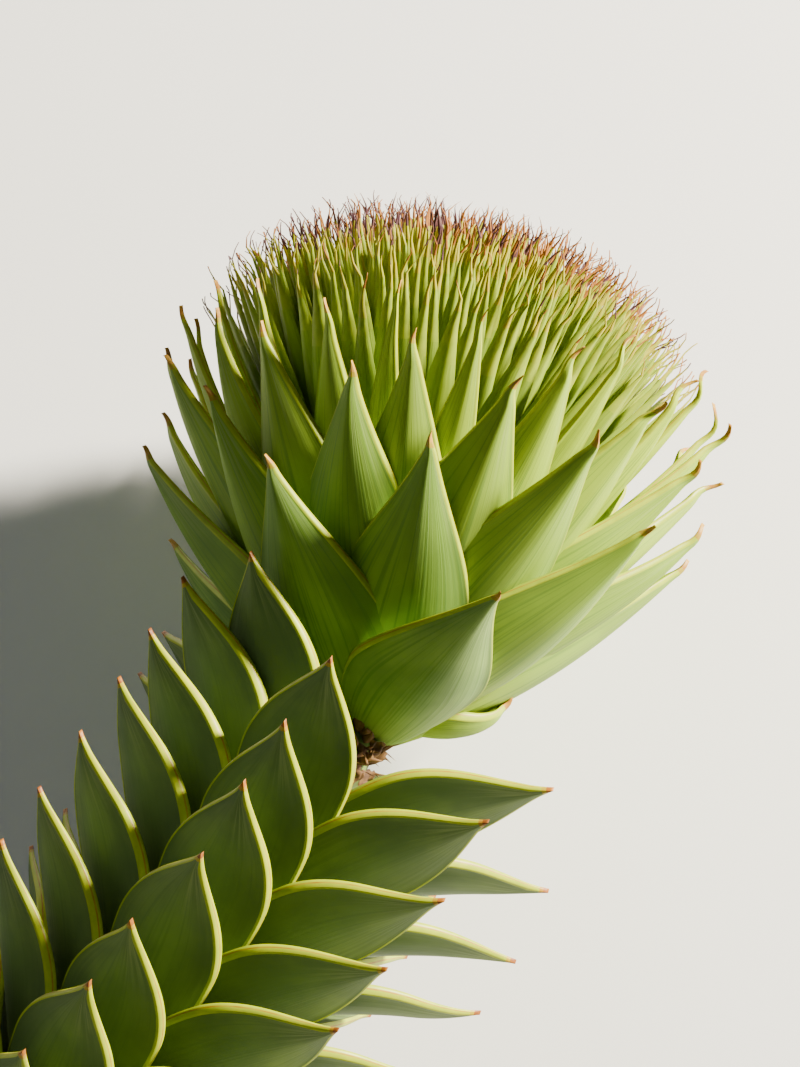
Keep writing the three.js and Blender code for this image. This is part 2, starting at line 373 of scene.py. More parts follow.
def blade_finish(name, dark, light, fresh, bloom, dust, lines, line_depth, fade, gloss):
    """Green from dark to light, fresh at the axil and on young blades, with lines, bloom and a
    painted sheen near the tip on the half that faces the sun.
    """
    finish = Finish(name, BLADE_ROUGHNESS, Specular_IOR_Level=gloss)
    along = finish.attribute(ALONG)
    across = finish.attribute(ACROSS)
    tone = finish.attribute(TONE)
    blotch = finish.noise(finish.vector(along * 3.0, across * 1.6, tone * 60.0), 1.0)
    line = finish.noise(finish.vector(along * 1.2, across * lines, tone * 40.0), 1.0, 2.0)
    streak = finish.noise(finish.vector(along * 2.0, across * 16.0, tone * 90.0), 1.0)
    axil = 1.0 - finish.ramp(along, 0.08, 0.46)
    green = finish.mix(finish.ramp(blotch, 0.35, 0.65), dark, light)
    green = finish.mix(finish.ramp(tone + axil * 0.35, 0.0, 1.0), green, fresh)
    green = finish.mix(finish.ramp(along, 0.42, 0.85) * fade, green, fresh)
    # Bloom streaks near the tip on the sun-facing half only: partly wax, partly painted sheen.
    crest = finish.ramp(along, 0.58, 0.92) * finish.ramp(across, 0.0, 0.22)
    crest = crest * finish.ramp(streak, 0.44, 0.62)
    old = 1.0 - finish.ramp(tone, 0.04, 0.16)
    dust_and_sheen = crest * 0.5 + old * dust * (0.5 + 0.5 * finish.ramp(blotch, 0.25, 0.7))
    green = finish.mix(dust_and_sheen, green, bloom)
    finish.drive("Base Color", finish.mix(finish.ramp(line, 0.50, 0.66) * line_depth, green, dark))
    finish.drive("Roughness", BLADE_ROUGHNESS + 0.16 * line)
    finish.relief(line, 0.3, RELIEF_DEPTH)
    return finish.material


leaf_green = blade_finish(
    "leaf_green", dark=(0.094, 0.146, 0.046), light=(0.142, 0.208, 0.054),
    fresh=(0.190, 0.310, 0.022), bloom=(0.330, 0.390, 0.150),
    dust=0.05, lines=26.0, line_depth=0.4, fade=0.0, gloss=0.18)
bract_green = blade_finish(
    "bract_green", dark=(0.088, 0.190, 0.028), light=(0.165, 0.310, 0.034),
    fresh=(0.400, 0.545, 0.020), bloom=(0.330, 0.430, 0.130),
    dust=0.50, lines=34.0, line_depth=0.55, fade=0.0, gloss=0.22)
awn_green = blade_finish(
    "awn_green", dark=(0.080, 0.155, 0.010), light=(0.150, 0.260, 0.014),
    fresh=(0.280, 0.375, 0.016), bloom=(0.400, 0.440, 0.100),
    dust=0.0, lines=6.0, line_depth=0.3, fade=0.9, gloss=0.25)
print("blade finishes:", leaf_green.name, bract_green.name, awn_green.name)

# %% [markdown]
# Colours that have a fixed place, such as the yellow rim of a leaf or its brown spine, are plain
# finishes on faces of their own. A little mottling from the object's own coordinates keeps them
# from looking painted.

# %% Rim, spine and tip finishes
def plain_finish(name, colour, other, scale, roughness):
    """Two close colours in spots, of which a metre holds about as many as the scale says."""
    finish = Finish(name, roughness, Specular_IOR_Level=0.3)
    mottle = finish.noise(finish.object_place(), scale)
    finish.drive("Base Color", finish.mix(finish.ramp(mottle, 0.35, 0.65), colour, other))
    finish.relief(mottle, 0.25, RELIEF_DEPTH)
    return finish.material


leaf_rim = plain_finish("leaf_rim", (0.42, 0.48, 0.008), (0.35, 0.43, 0.008), 260.0, 0.42)
leaf_edge = plain_finish("leaf_edge", (0.38, 0.20, 0.004), (0.42, 0.32, 0.006), 300.0, 0.42)
bract_rim = plain_finish("bract_rim", (0.38, 0.47, 0.012), (0.32, 0.40, 0.010), 260.0, 0.42)
bract_edge = plain_finish("bract_edge", (0.36, 0.28, 0.015), (0.34, 0.22, 0.012), 300.0, 0.45)
spine_brown = plain_finish("spine_brown", (0.38, 0.13, 0.006), (0.24, 0.07, 0.008), 420.0, 0.5)
bract_tip = plain_finish("bract_tip", (0.46, 0.25, 0.030), (0.36, 0.15, 0.016), 420.0, 0.5)
awn_lime = plain_finish("awn_lime", (0.30, 0.36, 0.018), (0.24, 0.33, 0.015), 300.0, 0.48)
awn_gold = plain_finish("awn_gold", (0.40, 0.32, 0.016), (0.33, 0.34, 0.018), 300.0, 0.48)
# Rust threads stand on the sunny side and plum-brown ones mostly on the other, so this pair is
# partly painted light and shade.
awn_rust = plain_finish("awn_rust", (0.36, 0.135, 0.012), (0.26, 0.085, 0.012), 420.0, 0.6)
awn_plum_and_shade = plain_finish("awn_plum_and_shade", (0.085, 0.030, 0.040), (0.120, 0.045, 0.030), 420.0, 0.6)
core_pale = plain_finish("core_pale", (0.48, 0.52, 0.22), (0.38, 0.44, 0.16), 260.0, 0.7)
dry_brown = plain_finish("dry_brown", (0.22, 0.11, 0.035), (0.07, 0.032, 0.014), 380.0, 0.8)
floor_pale = plain_finish("floor_pale", (0.80, 0.79, 0.76), (0.78, 0.77, 0.745), 3.0, 0.9)
floor.data.materials.append(floor_pale)
print("finishes so far:", len(bpy.data.materials))

# %% [markdown]
# The stem's finishes. The rind between the leaves is green, and darker in its grooves. The cut
# face shows the wood: a dark pith, pale rings round it and the bark's brown line.

# %% Stem finishes
FROM_PITH = "from_pith"
HEIGHT = "height"


def rind_finish(name, groove, ridge):
    """Two colours by the height of the relief, with grain in it."""
    finish = Finish(name, 0.6, Specular_IOR_Level=0.35)
    height = finish.attribute(HEIGHT)
    grain = finish.noise(finish.object_place(), 420.0)
    tint = finish.mix(finish.ramp(height + grain * 0.5, 0.35, 1.1), groove, ridge)
    finish.drive("Base Color", tint)
    finish.relief(grain, 0.4, 1.5 * RELIEF_DEPTH)
    return finish.material


def wood_finish(name):
    """Rings of two wood colours by the distance from the pith, with a dark pith and bark line."""
    finish = Finish(name, 0.7, Specular_IOR_Level=0.3)
    radius = finish.attribute(FROM_PITH)
    grain = finish.noise(finish.object_place(), 500.0)
    wave = finish.node("ShaderNodeMath", {"operation": "SINE"}, {0: radius * 62.0 + grain * 3.0})
    wood = finish.mix(finish.ramp(wave, -0.2, 0.9), (0.56, 0.44, 0.25), (0.44, 0.32, 0.16))
    wood = finish.mix(finish.ramp(radius, 0.82, 0.88), wood, (0.24, 0.15, 0.07))
    wood = finish.mix(1.0 - finish.ramp(radius, 0.08, 0.14), wood, (0.20, 0.12, 0.06))
    finish.drive("Base Color", wood)
    finish.relief(wave, 0.25, RELIEF_DEPTH)
    return finish.material


neck_green = rind_finish("neck_green", (0.050, 0.070, 0.012), (0.150, 0.230, 0.030))
bark_brown = rind_finish("bark_brown", (0.060, 0.040, 0.020), (0.200, 0.140, 0.070))
cut_wood = wood_finish("cut_wood")
print("stem finishes:", neck_green.name, bark_brown.name, cut_wood.name)

# %% [markdown]
# One blade, unbent. The block that every leaf and bract is bent from starts as a flat grid, which
# solidify turns into a thin closed slab. Its three coordinates are then only names: how far along
# the blade a point lies, how far across, and whether it is on the outer or the inner face. The
# rows crowd towards the tip, where the blade curls, and the outer columns are for the rim. Each
# face also gets its kind, which is the place of its finish in the piece's list of finishes.

# %% The blade's block
RIM_FROM = 5 / 8
EDGE_FROM = 0.99
FACE, RIM, EDGE, SPINE = 0, 1, 2, 3


class Block:
    """An unbent blade: its points as (along, across, face), its faces and what each is."""

    def __init__(self, rows, columns, crowding):
        bm = bmesh.new()
        bmesh.ops.create_grid(bm, x_segments=rows, y_segments=columns, size=1.0)
        bmesh.ops.solidify(bm, geom=bm.faces[:], thickness=1.0)
        bmesh.ops.recalc_face_normals(bm, faces=bm.faces[:])
        bm.verts.ensure_lookup_table()
        points = np.array([vert.co for vert in bm.verts])
        middle = (points[:, 2].min() + points[:, 2].max()) / 2
        self.along = 1 - (1 - (points[:, 0] + 1) / 2) ** crowding
        self.across = points[:, 1]
        self.face = np.sign(points[:, 2] - middle)
        self.faces = [[vert.index for vert in face.verts] for face in bm.faces]
        self.face_along = np.array([self.along[face].mean() for face in self.faces])
        self.face_across = np.array([np.abs(self.across[face]).mean() for face in self.faces])
        self.kinds = np.full(len(self.faces), FACE)
        bm.free()

    def colour_margins(self, edge_from, orange_from, spine_from):
        """Rim along both sides, a thin edge outside it further up, and a tip in two colours."""
        self.kinds[self.face_across > RIM_FROM] = RIM
        self.kinds[(self.face_across > EDGE_FROM) & (self.face_along > edge_from)] = EDGE
        self.kinds[self.face_along > orange_from] = EDGE
        self.kinds[self.face_along > spine_from] = SPINE


leaf_block = Block(rows=38, columns=16, crowding=1.2)
leaf_block.colour_margins(edge_from=0.2, orange_from=0.95, spine_from=0.972)
print("leaf block:", len(leaf_block.along), "points,", len(leaf_block.faces), "faces")

# %% [markdown]
# Bending the block. The midrib is a curve in the sheet of its turn: it leaves the stem at one
# angle and reaches its tip at another. The outline is a formula for the half width. The section is
# a cup that folds into a crest towards the tip, and the rim is a low bead. Its yellow band is
# broader on the side that meets the light, as a painted sheen along that edge. Some tips run out
# into a thread that curls. Everything is worked out for all points of a blade at once, as arrays,
# and in millimetres.

# %% Bend a blade
TO_SUN = unit(np.array(SUN_PLACE))
FOLD_FROM, FOLD_TO = 0.35, 0.85
HOOK_FROM = 0.7
SWAY_FROM = 0.55
THREAD_TURN = 4.5
RIM_LIMIT = 0.45
BEAD = 0.3
EDGE_THINNING = 0.97
SPINE_TAPER = 0.1


def climb(share, start, end=1.0):
    """0 up to the start, 1 from the end on, and straight between."""
    return np.clip((share - start) / (end - start), 0, 1)


def bend_point(root, root_angle, tip, tip_angle):
    """Where the line that leaves the root meets the line that reaches the tip."""
    leave = (math.sin(math.radians(root_angle)), math.cos(math.radians(root_angle)))
    arrive = (math.sin(math.radians(tip_angle)), math.cos(math.radians(tip_angle)))
    gap = (tip[0] - root[0], tip[1] - root[1])
    turn = leave[0] * arrive[1] - leave[1] * arrive[0]
    run = (gap[0] * arrive[1] - gap[1] * arrive[0]) / turn
    return np.array([root[0] + leave[0] * run, root[1] + leave[1] * run])


def outline(share, widest, root_width, fullness, pinch):
    """Half width as a share of the widest: rounded below, then drawn out to a point."""
    below = root_width + (1 - root_width) * np.sin(np.clip(share / widest, 0, 1) * math.pi / 2)
    beyond = climb(share, widest)
    return below * (1 - beyond ** fullness) * (1 - pinch * beyond ** 2)


def sun_side(blade):
    """1 where the blade's own side direction faces the sun, -1 where it faces away."""
    _, along, _, _ = blade["frame"]
    return float(np.cross(along, outward(blade["frame"], blade["turn"])).dot(TO_SUN))


def midrib(blade, share):
    """A place on the curve from root to tip: how far out, and how far forward."""
    root, bend, tip = (np.array(blade[key]) for key in ("root", "bend", "tip"))
    return (1 - share) ** 2 * root + 2 * share * (1 - share) * bend + share ** 2 * tip


def bent_blade(block, blade):
    """The block's points bent to one blade, in the grown shoot's millimetres."""
    share = block.along[:, None]
    middle = midrib(blade, share)
    root, bend, tip = (np.array(blade[key]) for key in ("root", "bend", "tip"))
    tangent = unit(2 * (1 - share) * (bend - root) + 2 * share * (tip - bend))
    inward = np.stack([-tangent[:, 1], tangent[:, 0]], axis=1)
    width = outline(block.along, **blade["outline"])
    spine = blade["spine"] * np.clip((1.002 - block.along) / SPINE_TAPER, 0.05, 1)
    half = np.maximum(blade["half_width"] * width, spine)
    narrow, broad = blade["rims"]
    # The rim's yellow band widens on the side that faces the sun: a painted sheen on the lit edge.
    painted_sheen_side = np.clip(0.5 + 0.7 * sun_side(blade) * np.sign(block.across), 0, 1)
    rim = narrow + (broad - narrow) * painted_sheen_side * (0.35 + 0.65 * block.along)
    rim = np.minimum(rim, RIM_LIMIT * half)
    across = np.abs(block.across)
    on_rim = climb(across, RIM_FROM)
    reach = np.minimum(across / RIM_FROM, 1) * (half - rim) + rim * on_rim ** 0.6
    lateral = np.sign(block.across) * reach
    bead = np.sqrt(1 - EDGE_THINNING * on_rim ** 2) + BEAD * np.sin(math.pi * on_rim)
    thick = np.maximum(blade["thickness"] * (0.4 + 0.6 * width), spine) / 2
    inner = np.abs(lateral) / half
    fold = blade["fold"] * climb(block.along, FOLD_FROM, FOLD_TO)
    depth = blade["cup"] * width ** 0.8 * ((1 - fold) * inner ** 2 + fold * inner)
    depth = depth + block.face * thick * bead
    depth = depth + blade["hook"] * climb(block.along, HOOK_FROM) ** 2
    twist = math.radians(blade["twist"]) * block.along
    lateral, depth = (lateral * np.cos(twist) - depth * np.sin(twist),
                      lateral * np.sin(twist) + depth * np.cos(twist))
    lateral = lateral + blade["sway"] * climb(block.along, SWAY_FROM) ** 2
    thread = climb(block.along, blade["thread"])
    curl = blade["curl"] * thread ** 1.5
    lateral = lateral + curl * np.sin(blade["phase"] + THREAD_TURN * thread)
    depth = depth + curl * np.cos(blade["phase"] + THREAD_TURN * thread)
    sheet = middle + inward * depth[:, None]
    place, along, _, _ = blade["frame"]
    out = outward(blade["frame"], blade["turn"])
    side = np.cross(along, out)
    in_sheet = np.outer(sheet[:, 0], out) + np.outer(sheet[:, 1], along)
    return place + in_sheet + np.outer(lateral, side)


def on_the_floor(points):
    """Tips that would reach through the floor lie on it."""
    points[:, 2] = np.maximum(points[:, 2], 0.0)
    return points


def grow(name, block, blades, finishes):
    """Joins bent copies of a block into one mesh with attributes for its finishes."""
    count = len(block.along)
    points = np.concatenate([on_the_floor(laid(bent_blade(block, blade))) for blade in blades])
    faces = [
        [corner + count * k for corner in face] for k in range(len(blades)) for face in block.faces
    ]
    # The across attribute is signed so that its plus side faces the sun, for the painted sheen of
    # the bloom.
    sides = [math.copysign(1, sun_side(blade)) for blade in blades]
    mesh = bpy.data.meshes.new(name)
    mesh.from_pydata(points.tolist(), [], faces)
    kinds = np.concatenate([blade.get("kinds", block.kinds) for blade in blades])
    mesh.polygons.foreach_set("material_index", kinds.astype(np.int32))
    mesh.polygons.foreach_set("use_smooth", np.ones(len(kinds), bool))
    for attribute, values in (
        (ALONG, np.tile(block.along, len(blades))),
        (ACROSS, np.concatenate([block.across * side for side in sides])),
        (TONE, np.repeat([blade["tone"] for blade in blades], count)),
    ):
        layer = mesh.attributes.new(attribute, "FLOAT", "POINT")
        layer.data.foreach_set("value", values.astype(np.float32))
    for finish in finishes:
        mesh.materials.append(finish)
    bm = bmesh.new()
    bm.from_mesh(mesh)
    bmesh.ops.recalc_face_normals(bm, faces=bm.faces[:])
    print(name, len(blades), "blades,", len(bm.faces) * 2, "triangles, volume",
          round(bm.calc_volume() * 1e6, 1), "cm3")
    bm.to_mesh(mesh)
    bm.free()
    return new_object(name, mesh)


print("bending: the sun is towards", TO_SUN.round(2))

# %% [markdown]
# The stem and its rind are each rings of points down the axis, joined into a tube. The first and
# last rings have no radius, and merging their points closes the ends. The relief of the rind is
# the leaves' own spiral: a low cushion runs down from under each leaf.

# %% Stem and rind
RIND_THICKNESS = 2.4
RIND_START = 4.0
LEAF_COUNT = 68
LEAF_START = 16.92
LEAF_STEP = 1.97
LEAF_FIRST_TURN = -13.7
LEAF_TURN = -102.99
PUSHED_TURNS = {7: -33.0, 10: 11.0}
CUSHION_SIDE = 5.5
CUSHION_LENGTH = 8.0
CUSHIONS_ABOVE, CUSHIONS_BELOW = 4, 14
NO_CUSHION = -99.0
AROUND = 120
CUT_RINGS = 8
STEM_RINGS = 160
STEM_RELIEF = 0.5
BARK_START = 0.6
MERGE = 1e-6
RIND_RINGS = 150
RIND_RELIEF = 1.2
RIND_SUNK = 0.4
NECK_RADIUS = 7.8
NECK_SPREAD = 0.35
NECK_FOOT = 3.0
NECK_RINGS = (4.0, 7.0, 10.0)
NECK_END = 12.0


def leaf_turn(index):
    """A leaf's turn round the shoot, with the push that the cone gives it."""
    return LEAF_FIRST_TURN + LEAF_TURN * index + PUSHED_TURNS.get(index, 0.0)


def cushions(below, turns, radius):
    """How high the nearest leaf's cushion stands, from 0 to 1, for points round one ring."""
    index = np.arange(-CUSHIONS_ABOVE, LEAF_COUNT + CUSHIONS_BELOW)[:, None]
    aside = (turns - (LEAF_FIRST_TURN + LEAF_TURN * index) + 180) % 360 - 180
    reach = np.abs(np.radians(aside)) * radius / CUSHION_SIDE
    middle = LEAF_START + LEAF_STEP * index + CUSHION_LENGTH / 3
    drop = np.abs(below - middle) / CUSHION_LENGTH
    return np.clip(1 - reach - drop, 0, 1).max(0) ** 0.6


def neck_radius(height):
    """The rind spreads a little where it passes under the cone's lowest bracts."""
    return NECK_RADIUS + NECK_SPREAD * (height - NECK_FOOT)


def wrap(name, rings, relief, finishes, cut_rings=0):
    """A closed tube through rings of (frame, below, radius), with relief in millimetres."""
    turns = 360 * np.arange(AROUND) / AROUND
    points, heights, radii = [], [], []
    for ring, below, radius in rings:
        height = cushions(below, turns, max(radius, 1.0)) * (radius > 0)
        out = np.array([outward(ring, turn) for turn in turns])
        points.append(ring[0] + out * (radius + relief * (height - 0.5) * (radius > 0))[:, None])
        heights.append(height)
        radii.append(np.full(AROUND, radius / STEM_CUT_RADIUS))
    bm = bmesh.new()
    height_layer, radius_layer = (bm.verts.layers.float.new(key) for key in (HEIGHT, FROM_PITH))
    places, heights, radii = (np.concatenate(rows) for rows in (points, heights, radii))
    verts = []
    for place, height, radius in zip(laid(places), heights, radii):
        vert = bm.verts.new(place)
        vert[height_layer] = height
        vert[radius_layer] = radius
        verts.append(vert)
    for row in range(len(rings) - 1):
        for k in range(AROUND):
            a, b = row * AROUND + k, row * AROUND + (k + 1) % AROUND
            face = bm.faces.new([verts[i] for i in (a, b, b + AROUND, a + AROUND)])
            face.material_index = int(row < cut_rings)
            face.smooth = row >= cut_rings
    bmesh.ops.remove_doubles(bm, verts=bm.verts[:], dist=MERGE)
    bmesh.ops.dissolve_degenerate(bm, edges=bm.edges[:], dist=MERGE / 10)
    bmesh.ops.recalc_face_normals(bm, faces=bm.faces[:])
    print(name, len(bm.faces) * 2, "triangles, volume", round(bm.calc_volume() * 1e6, 1), "cm3")
    mesh = bpy.data.meshes.new(name)
    bm.to_mesh(mesh)
    bm.free()
    for finish in finishes:
        mesh.materials.append(finish)
    return new_object(name, mesh)


cut_face = shoot_frame(SHOOT_LENGTH)
stem_rings = [(cut_face, NO_CUSHION, STEM_CUT_RADIUS * share)
              for share in np.linspace(0, 1, CUT_RINGS + 1)]
stem_rings += [(shoot_frame(below), below, float(stem_radius(below)))
               for below in np.linspace(SHOOT_LENGTH - BARK_START, STEM_BEND, STEM_RINGS)]
stem_rings += [(cone_frame(CORE_FOOT), NO_CUSHION, share * STEM_TOP_RADIUS) for share in (1.0, 0.0)]
stem = wrap("stem_bark", stem_rings, STEM_RELIEF, [bark_brown, cut_wood], cut_rings=CUT_RINGS)
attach(stem, "root")
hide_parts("stem")

rind_rings = [(shoot_frame(LEAFY_LENGTH), NO_CUSHION, float(stem_radius(LEAFY_LENGTH)) * share)
              for share in (0.0, 1.0)]
rind_rings += [(shoot_frame(below), below, float(stem_radius(below)) + RIND_THICKNESS - RIND_SUNK)
               for below in np.linspace(LEAFY_LENGTH, RIND_START, RIND_RINGS)]
rind_rings += [(cone_frame(height), NO_CUSHION, neck_radius(height)) for height in NECK_RINGS]
rind_rings += [(cone_frame(NECK_END), NO_CUSHION, 0.0)]
rind = wrap("leaf_rind", rind_rings, RIND_RELIEF, [neck_green])
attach(rind, "root")
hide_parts(*[f"leaves_{k}" for k in range(1, 6)])

# %% [markdown]
# The leaves. They follow the solids' spiral leaf by leaf. A seeded draw gives each its own small
# twist, sway and length, since no two are alike, and leaves near the cone are a fresher green. Two
# are pushed out of their rows by the cone, and none grows where the cone or its bare neck is.

# %% Leaves
LEAF_ROOT = (6.8, 0.0)
LEAF_TIP = (50.3, 33.0)
LEAF_ROOT_ANGLE = 44.0
LEAF_TIP_ANGLE = 70.0
LEAF_MASSES = 5
LEAF_OUTLINE = {"widest": 0.42, "root_width": 0.62, "fullness": 1.7, "pinch": 0.56}
LEAF_HALF_WIDTH = 11.8
LEAF_RIMS = (0.38, 1.05)
LEFT_TWIST = 16.0
FRESH_LEAF = 0.34
FRESH_FADE = 130.0
NECK_LENGTH = 22.0
NECK_SLANT = 14.0
NECK_SIDE = 30.0
DOME_RADIUS = 58.0
UNDERSIDE_FOOT = 3.0
UNDERSIDE_SLOPE = 0.43

draw = np.random.default_rng(8)


def leaf_blade(index):
    """One leaf. Those on the viewer's left also turn their faces to the front."""
    tip = (LEAF_TIP[0] * draw.uniform(0.98, 1.01), LEAF_TIP[1] * draw.uniform(0.96, 1.03))
    below = LEAF_START + LEAF_STEP * index
    turn = leaf_turn(index)
    to_left = max(-math.sin(math.radians(turn)), 0.0)
    return {
        "frame": shoot_frame(below), "turn": turn, "root": LEAF_ROOT, "tip": tip,
        "bend": bend_point(LEAF_ROOT, LEAF_ROOT_ANGLE, tip, LEAF_TIP_ANGLE),
        "outline": LEAF_OUTLINE, "half_width": LEAF_HALF_WIDTH, "thickness": 1.9,
        "cup": 3.0, "fold": 0.6, "rims": LEAF_RIMS, "spine": 0.5, "hook": draw.uniform(1.0, 3.5),
        "twist": draw.uniform(-6, 6) + LEFT_TWIST * to_left,
        "sway": draw.uniform(-1.5, 1.5), "thread": 0.9, "curl": 0.0, "phase": 0.0,
        "tone": float(np.clip(FRESH_LEAF - below / FRESH_FADE, 0, 0.3) + draw.uniform(0.0, 0.12)),
    }


def on_bare_neck(index):
    """The neck under the cone has shed its leaves, furthest down on its near right side."""
    aside = math.radians(leaf_turn(index) - NECK_SIDE)
    return LEAF_START + LEAF_STEP * index < NECK_LENGTH + NECK_SLANT * math.cos(aside)


def meets_cone(blade):
    """Whether the midrib would pass the underside of the cone's lowest bracts."""
    place, along, _, _ = blade["frame"]
    out = outward(blade["frame"], blade["turn"])
    cone_place, cone_along, _, _ = cone_frame(0.0)
    for share in (0.4, 0.55, 0.7, 0.85, 1.0):
        reach, forward = midrib(blade, share)
        from_foot = place + out * reach + along * forward - cone_place
        height = from_foot.dot(cone_along)
        radius = math.sqrt(from_foot.dot(from_foot) - height ** 2)
        if radius < DOME_RADIUS and height > UNDERSIDE_FOOT + radius * UNDERSIDE_SLOPE:
            return True
    return False


leaf_finishes = [leaf_green, leaf_rim, leaf_edge, spine_brown]
starts = [round(LEAF_COUNT * k / LEAF_MASSES) for k in range(LEAF_MASSES + 1)]
for mass, (first, last) in enumerate(zip(starts, starts[1:]), start=1):
    grown = [(index, leaf_blade(index)) for index in range(first, last) if not on_bare_neck(index)]
    blades = [blade for index, blade in grown if index in PUSHED_TURNS or not meets_cone(blade)]
    leaves = grow(f"leaf_blades_{mass}", leaf_block, blades, leaf_finishes)
    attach(leaves, "root")
    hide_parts(f"leaves_{mass}")

# %% [markdown]
# Where leaves were shed under the cone, only dry curled stubs are left. They are small blades of a
# coarser block, thrown round the near side of the neck by the same seeded draw.

# %% Dry stubs
STUB_COUNT = 34
STUB_PLACES = (3.0, 16.0)
STUB_SIDE = 15.0
STUB_SPREAD = 50
STUB_OUTLINE = {"widest": 0.4, "root_width": 0.9, "fullness": 1.2, "pinch": 0.0}

stub_block = Block(rows=12, columns=6, crowding=1.0)


def stub_blade():
    """One stub, bent and twisted at random."""
    tip = np.array([draw.uniform(8.4, 10.6), draw.uniform(1.0, 6.0)])
    root = np.array([7.0, draw.uniform(-2.0, 1.0)])
    return {
        "frame": shoot_frame(draw.uniform(*STUB_PLACES)),
        "turn": NECK_SIDE + STUB_SIDE + draw.normal(0, STUB_SPREAD), "root": root,
        "bend": root + (tip - root) * np.array([0.8, 0.3]), "tip": tip,
        "outline": STUB_OUTLINE, "half_width": draw.uniform(0.9, 2.1), "thickness": 0.45,
        "cup": draw.uniform(1.0, 3.0), "fold": 0.0, "rims": (0.2, 0.2), "spine": 0.4, "hook": -2.0,
        "twist": draw.uniform(-60, 60), "sway": draw.uniform(-2, 2), "thread": 0.5,
        "curl": draw.uniform(0.5, 2.0), "phase": draw.uniform(0, 6), "tone": 0.0,
    }


stub_blades = [stub_blade() for _ in range(STUB_COUNT)]
stubs = grow("dry_stubs", stub_block, stub_blades, [dry_brown])
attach(stubs, "root")
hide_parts("leaves_1")

# %% [markdown]
# The cone's bracts. Each tip lies on a flattened dome, each root on the egg-shaped core or, for
# the lowest, on the top of the stem, and the next one stands a golden angle further round. The
# lowest are the broadest, and they slim down quickly to the awns of the crown. One of the lowest
# is lifted out of the spiral, as on the real cone, and the very first is old and dusted with bloom.

# %% Bracts
CORE_CENTRE = 43.0
CORE_RADIUS = 19.0
CORE_HALF_HEIGHT = 36.0
DOME_CENTRE = 58.0
DOME_HALF_HEIGHT = 52.0
DOME_FULLNESS = 2.3
BRACT_TURN = -137.508
BRACT_FIRST_TURN = 21.0
BRACT_LOWEST = -34.0
BRACT_SPAN = 59.0
BRACT_RUSH = 0.36
BRACTS_BELOW_CROWN = 54
PUSHED_BRACT = 2
PUSHED_BRACT_ANGLE = -4.3
FOOT_BRACTS = 18
CROWN_ANGLE = 25.0
ROOT_CROWN = -8.0
BRACT_HALF_WIDTH = 14.5
BRACT_SLIMMING = 33.0
BRACT_SLIMMING_FADE = 7.0
AWN_HALF_WIDTH = 2.8
BRACT_HOOK = 14.0
BRACT_OUTLINE = {"widest": 0.36, "root_width": 0.6, "fullness": 1.5, "pinch": 0.42}
BRACT_RIMS = (0.24, 0.6)
RIGHT_STRETCH = 0.09
RIGHT_CURL = 2.8
FOOT_TONE = 0.12
TONE_GAIN = 0.7
SUNLIT_PAINTED_TONE = 0.2
OLD_TONE = 0.03
CURLED_DRY_FROM = 0.86


def dome_point(angle):
    """Where a tip lies: how far out from the cone's axis, and how high."""
    power = 2 / DOME_FULLNESS
    reach = DOME_RADIUS * math.cos(math.radians(angle)) ** power
    rise = DOME_HALF_HEIGHT * abs(math.sin(math.radians(angle))) ** power
    return np.array([reach, DOME_CENTRE + math.copysign(rise, angle)])


def core_point(angle):
    """The same for a root on the core."""
    return np.array([
        CORE_RADIUS * math.cos(math.radians(angle)),
        CORE_CENTRE + CORE_HALF_HEIGHT * math.sin(math.radians(angle)),
    ])


def bract_root(index):
    """Roots climb evenly from the top of the stem up the core."""
    height = core_point(ROOT_CROWN)[1] * index / BRACTS_BELOW_CROWN
    if height < CORE_FOOT:
        return np.array([STEM_TOP_RADIUS, height])
    level = (height - CORE_CENTRE) / CORE_HALF_HEIGHT
    return np.array([CORE_RADIUS * math.sqrt(1 - level ** 2), height])


def arched(root, tip, hook):
    """The bend of a blade that leaves its chord and comes back to it by the same angle."""
    chord = math.degrees(math.atan2(tip[0] - root[0], tip[1] - root[1]))
    return bend_point(root, chord + hook, tip, chord - hook)


def bract_angle(index):
    """How high on the dome the tip lies, as an angle from its centre."""
    if index == PUSHED_BRACT:
        return PUSHED_BRACT_ANGLE
    return BRACT_LOWEST + BRACT_SPAN * (index / BRACTS_BELOW_CROWN) ** BRACT_RUSH


def bract_blade(index):
    """One bract. Those on the viewer's right are longer and their tips curl more; their yellower
    tone there is painted sunlight.
    """
    share = index / BRACTS_BELOW_CROWN
    turn = BRACT_FIRST_TURN + BRACT_TURN * index
    to_right = max(math.sin(math.radians(turn)), 0.0)
    tip = dome_point(bract_angle(index))
    root = bract_root(index)
    slim = 1 / (1 + math.exp((index - BRACT_SLIMMING) / BRACT_SLIMMING_FADE))
    tip = root + (tip - root) * (draw.uniform(0.98, 1.02) + RIGHT_STRETCH * share * to_right)
    # The rise with share is the younger bracts' own colour. The extra tone on the right, towards
    # the sun, is painted sunlight.
    tone = FOOT_TONE + TONE_GAIN * share + SUNLIT_PAINTED_TONE * to_right
    return {
        "frame": cone_frame(0.0), "turn": turn,
        "root": root, "bend": arched(root, tip, BRACT_HOOK), "tip": tip,
        "outline": BRACT_OUTLINE,
        "half_width": AWN_HALF_WIDTH + (BRACT_HALF_WIDTH - AWN_HALF_WIDTH) * slim,
        "thickness": 1.7, "cup": 0.6 + 6.4 * slim, "fold": 0.5, "rims": BRACT_RIMS,
        "spine": 0.8 - 0.3 * share, "hook": draw.uniform(-1.0, 1.5), "twist": draw.uniform(-7, 7),
        "sway": draw.uniform(-1.5, 1.5), "thread": 0.92 - 0.08 * share,
        "curl": draw.uniform(0.3, 0.7) + RIGHT_CURL * share * to_right,
        "phase": draw.uniform(0, 6.3),
        "tone": float(np.clip(tone + draw.uniform(-0.04, 0.08), 0, 1)),
    }


